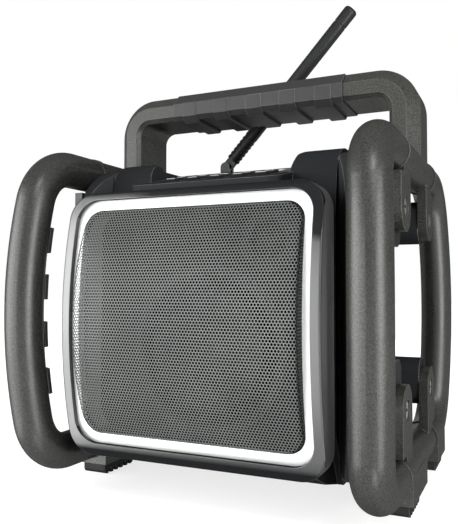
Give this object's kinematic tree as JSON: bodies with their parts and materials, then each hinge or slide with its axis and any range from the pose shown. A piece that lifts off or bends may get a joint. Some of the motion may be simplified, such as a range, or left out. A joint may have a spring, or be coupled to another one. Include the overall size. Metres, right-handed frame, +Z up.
{
  "type": "tabletop radio",
  "caption": "Rugged portable radio with bent-tube side guards, a gripped carrying handle, a domed speaker face, a key panel and a tilting antenna.",
  "frame": {"origin": "on the floor under the middle of the radio", "axes": "+Z up, the speaker faces -Y, +X to the right of someone facing the speaker"},
  "size_m": [0.3506, 0.3653, 0.5074],
  "materials": {
    "board": "lacquered laminate",
    "case_plastic": "fine spark-eroded grain",
    "cell_wrap": "printed sleeve",
    "cone_paper": "pressed pulp",
    "contact": "plated",
    "display": "display glass",
    "dome_silk": "coated",
    "fibreboard": "raw",
    "fork_steel": "satin",
    "grille_metal": "powder coated",
    "key_rubber": "matt",
    "magnet": "ground",
    "panel_plastic": "satin",
    "pressed_steel": "painted",
    "ring_plastic": "coarse moulded grain",
    "rubber_black": "matt moulded",
    "screw_steel": "black oxide",
    "supply": "lacquered laminations",
    "trim_metal": "satin silver",
    "window_plastic": "polished"
  },
  "bodies": {
    "case": {"antenna_base": "case_plastic", "battery_cells": "cell_wrap", "battery_contacts": "contact", "battery_tray": "case_plastic", "case_screws": "screw_steel", "control_board": "board", "control_panel": "panel_plastic", "display_module": "display", "display_window": "window_plastic", "door_pins": "screw_steel", "driver_screws": "screw_steel", "finger_pads_left": "rubber_black", "finger_pads_right": "rubber_black", "front_bumper_left": "ring_plastic", "front_bumper_right": "ring_plastic", "front_foot_left": "rubber_black", "front_foot_right": "rubber_black", "front_housing": "case_plastic", "handle": "ring_plastic", "handle_grip": "rubber_black", "left_cheek": "case_plastic", "lower_bridge_left": "ring_plastic", "lower_bridge_right": "ring_plastic", "lug_screws": "screw_steel", "main_board": "board", "power_supply": "supply", "rear_bumper_left": "ring_plastic", "rear_bumper_right": "ring_plastic", "rear_foot_left": "rubber_black", "rear_foot_right": "rubber_black", "rear_housing": "case_plastic", "right_cheek": "case_plastic", "silver_trim": "trim_metal", "socket_panel": "panel_plastic", "speaker_baffle": "fibreboard", "speaker_bezel": "case_plastic", "speaker_grille": "grille_metal", "tweeter_body": "pressed_steel", "tweeter_dome": "dome_silk", "woofer_basket": "pressed_steel", "woofer_cone": "cone_paper", "woofer_dust_cap": "cone_paper", "woofer_magnet": "magnet", "woofer_surround": "rubber_black"},
    "antenna_fork": {"antenna_fork": "fork_steel"},
    "antenna_whip": {"antenna_whip": "rubber_black"},
    "battery_door": {"battery_door": "case_plastic"},
    "socket_cover": {"socket_cover": "rubber_black"},
    "key_01": {"key_01": "key_rubber"},
    "key_02": {"key_02": "key_rubber"},
    "key_03": {"key_03": "key_rubber"},
    "key_04": {"key_04": "key_rubber"},
    "key_05": {"key_05": "key_rubber"},
    "key_06": {"key_06": "key_rubber"},
    "key_07": {"key_07": "key_rubber"},
    "key_08": {"key_08": "key_rubber"},
    "key_09": {"key_09": "key_rubber"},
    "key_10": {"key_10": "key_rubber"}
  },
  "joints": [
    {"name": "key_01_press", "type": "slide", "parent": "case", "child": "key_01", "axis": [0, 0.2288, -0.9735], "range_m": [0, 0.001], "stiffness_N_per_m": 400},
    {"name": "key_02_press", "type": "slide", "parent": "case", "child": "key_02", "axis": [0, 0.2288, -0.9735], "range_m": [0, 0.001], "stiffness_N_per_m": 400},
    {"name": "key_03_press", "type": "slide", "parent": "case", "child": "key_03", "axis": [0, 0.2288, -0.9735], "range_m": [0, 0.001], "stiffness_N_per_m": 400},
    {"name": "key_04_press", "type": "slide", "parent": "case", "child": "key_04", "axis": [0, 0.2288, -0.9735], "range_m": [0, 0.001], "stiffness_N_per_m": 400},
    {"name": "key_05_press", "type": "slide", "parent": "case", "child": "key_05", "axis": [0, 0.2288, -0.9735], "range_m": [0, 0.001], "stiffness_N_per_m": 400},
    {"name": "key_06_press", "type": "slide", "parent": "case", "child": "key_06", "axis": [0, 0.2288, -0.9735], "range_m": [0, 0.001], "stiffness_N_per_m": 400},
    {"name": "key_07_press", "type": "slide", "parent": "case", "child": "key_07", "axis": [0, 0.2288, -0.9735], "range_m": [0, 0.001], "stiffness_N_per_m": 400},
    {"name": "key_08_press", "type": "slide", "parent": "case", "child": "key_08", "axis": [0, 0.2288, -0.9735], "range_m": [0, 0.001], "stiffness_N_per_m": 400},
    {"name": "key_09_press", "type": "slide", "parent": "case", "child": "key_09", "axis": [0, 0.2288, -0.9735], "range_m": [0, 0.001], "stiffness_N_per_m": 400},
    {"name": "key_10_press", "type": "slide", "parent": "case", "child": "key_10", "axis": [0, 0.2288, -0.9735], "range_m": [0, 0.001], "stiffness_N_per_m": 400},
    {"name": "antenna_swivel", "type": "hinge", "parent": "case", "child": "antenna_fork", "pos_m": [-0.074, 0.08, 0.321], "axis": [0, 0, 1], "range_deg": [0, 180]},
    {"name": "antenna_tilt", "type": "hinge", "parent": "antenna_fork", "child": "antenna_whip", "pos_m": [-0.074, 0.08, 0.336], "axis": [0, 1, 0], "range_deg": [-42.9, 44]},
    {"name": "battery_door_hinge", "type": "hinge", "parent": "case", "child": "battery_door", "pos_m": [0, 0.1042, 0.058], "axis": [-1, 0, 0], "range_deg": [0, 100]},
    {"name": "socket_cover_hinge", "type": "hinge", "parent": "case", "child": "socket_cover", "pos_m": [0.087, 0.1048, 0.1655], "axis": [1, 0, 0], "range_deg": [0, 110]}
  ]
}
